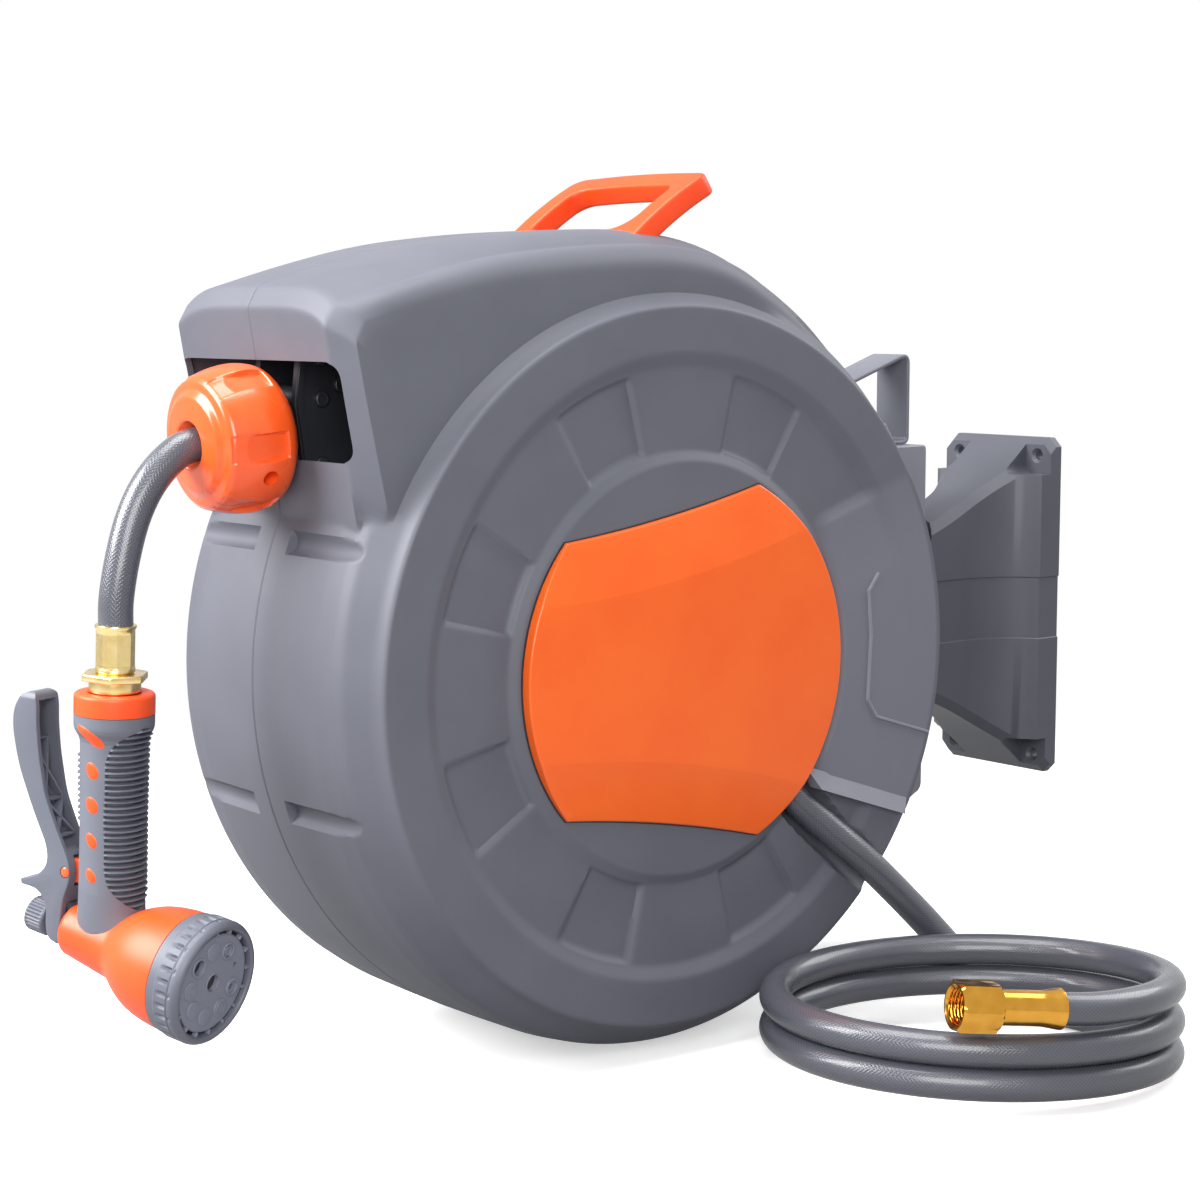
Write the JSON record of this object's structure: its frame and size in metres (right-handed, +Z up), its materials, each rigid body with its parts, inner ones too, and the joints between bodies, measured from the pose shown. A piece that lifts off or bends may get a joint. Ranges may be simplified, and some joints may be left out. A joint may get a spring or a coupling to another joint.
{
  "type": "wall mounted hose reel",
  "caption": "Wall mounted garden hose reel with a round case, spring rewound drum, level-wind guide, swivel bracket, spray nozzle on its hose lead and a coiled inlet hose.",
  "frame": {"origin": "centre of the four wall screw holes, on the wall face of the bracket", "axes": "+Y points into the wall, +Z up, +X toward the inlet side of the reel along its drum axis"},
  "size_m": [0.4226, 0.7023, 0.4993],
  "materials": {
    "case_plastic": "moulded, finely textured grey",
    "block_plastic": "moulded light grey",
    "strap_metal": "powder coated grey strip",
    "badge_plastic": "satin orange plate, bare",
    "handle_plastic": "moulded orange",
    "stopper_plastic": "glossy orange moulding",
    "drum_plastic": "plain moulded dark grey",
    "guide_plastic": "moulded black",
    "grip_plastic": "moulded grey",
    "grip_rubber": "soft ribbed grey",
    "hose": "glossy grey hose with a fine braid under its skin",
    "steel": "bright steel",
    "brass": "bright machined brass"
  },
  "bodies": {
    "root": {"wall_bracket": "case_plastic"},
    "case": {"pivot_block": "block_plastic", "pivot_pin": "steel", "pin_strap": "strap_metal", "case_right": "case_plastic", "case_left": "case_plastic", "badge_right": "badge_plastic", "badge_left": "badge_plastic", "carry_handle": "handle_plastic", "case_screws": "steel", "guide_rail": "steel", "idler_pin": "steel", "pawl_pin": "steel", "pawl_spring": "steel", "spring_arbor": "steel", "main_spring": "steel", "inlet_elbow": "brass", "inlet_hose_drop": "hose", "inlet_hose_coil": "hose", "inlet_ferrule": "brass"},
    "drum": {"drum_hub": "drum_plastic", "drum_flange_right": "drum_plastic", "drum_flange_left": "drum_plastic", "drum_gear": "drum_plastic", "bushing_right": "brass", "bushing_left": "brass", "hose_core": "hose", "wound_hose": "hose", "ratchet_wheel": "steel"},
    "idler": {"idler_gear": "drum_plastic"},
    "screw": {"traverse_screw": "steel", "screw_gear": "drum_plastic"},
    "pawl_arm": {"pawl": "steel"},
    "guide": {"guide_carriage": "guide_plastic", "hose_lead": "hose", "stopper_left": "stopper_plastic", "stopper_right": "stopper_plastic", "stopper_screws": "steel", "outlet_ferrule": "brass", "outlet_fitting": "brass", "nozzle_body": "stopper_plastic", "nozzle_collar": "stopper_plastic", "nozzle_grip": "grip_rubber", "nozzle_dots": "stopper_plastic", "lever_pin": "stopper_plastic"},
    "roller_upper": {"guide_roller_upper": "guide_plastic"},
    "roller_lower": {"guide_roller_lower": "guide_plastic"},
    "lever": {"nozzle_lever": "grip_plastic"},
    "stem": {"valve_stem": "steel"},
    "knob": {"flow_knob": "grip_plastic"},
    "dial": {"spray_dial": "grip_plastic", "spray_face": "grip_plastic"},
    "nut": {"inlet_nut": "brass"}
  },
  "joints": [
    {"name": "case_swivel", "type": "hinge", "parent": "root", "child": "case", "pos_m": [0, -0.12, 0], "axis": [0, 0, 1], "range_deg": [-80, 80]},
    {"name": "drum_spin", "type": "hinge", "parent": "case", "child": "drum", "pos_m": [0, -0.37, -0.003], "axis": [1, 0, 0], "range_deg": [-860, 880]},
    {"name": "idler_spin", "type": "hinge", "parent": "case", "child": "idler", "pos_m": [-0.072, -0.4742, 0.03941], "axis": [1, 0, 0], "range_deg": [-590, 580]},
    {"name": "screw_spin", "type": "hinge", "parent": "case", "child": "screw", "pos_m": [0, -0.538, 0.105], "axis": [1, 0, 0], "range_deg": [-1620, 1655]},
    {"name": "guide_slide", "type": "slide", "parent": "case", "child": "guide", "axis": [1, 0, 0], "range_m": [-0.045, 0.046]},
    {"name": "roller_upper_spin", "type": "hinge", "parent": "guide", "child": "roller_upper", "pos_m": [0, -0.558, 0.14905], "axis": [1, 0, 0], "continuous": true},
    {"name": "roller_lower_spin", "type": "hinge", "parent": "guide", "child": "roller_lower", "pos_m": [0, -0.558, 0.11545], "axis": [1, 0, 0], "continuous": true},
    {"name": "pawl_lift", "type": "hinge", "parent": "case", "child": "pawl_arm", "pos_m": [-0.078, -0.38598, -0.0936], "axis": [1, 0, 0], "range_deg": [0, 15], "stiffness_Nm_per_rad": 0.02},
    {"name": "lever_squeeze", "type": "hinge", "parent": "guide", "child": "lever", "pos_m": [-0.02837, -0.68146, -0.0954], "axis": [-0.3746, 0.9272, 0], "range_deg": [0, 12], "stiffness_Nm_per_rad": 1.5},
    {"name": "stem_pull", "type": "slide", "parent": "guide", "child": "stem", "axis": [0.9101, 0.3677, -0.1908], "range_m": [-0.006, 0]},
    {"name": "knob_turn", "type": "hinge", "parent": "stem", "child": "knob", "pos_m": [-0.04966, -0.69006, -0.12294], "axis": [0.9101, 0.3677, -0.1908], "range_deg": [-180, 180]},
    {"name": "dial_turn", "type": "hinge", "parent": "guide", "child": "dial", "pos_m": [0.04454, -0.652, -0.14269], "axis": [0.9101, 0.3677, -0.1908], "continuous": true},
    {"name": "nut_turn", "type": "hinge", "parent": "case", "child": "nut", "pos_m": [0.27846, -0.32451, -0.16443], "axis": [-0.3806, -0.9188, 0.1045], "continuous": true}
  ],
  "couplings": [
    {"joint": "idler_spin", "follows": "drum_spin", "ratio": -0.66667},
    {"joint": "screw_spin", "follows": "drum_spin", "ratio": 1.875},
    {"joint": "guide_slide", "follows": "drum_spin", "m_per_rad": 0.0029842},
    {"joint": "stem_pull", "follows": "lever_squeeze", "m_per_rad": -0.025}
  ]
}
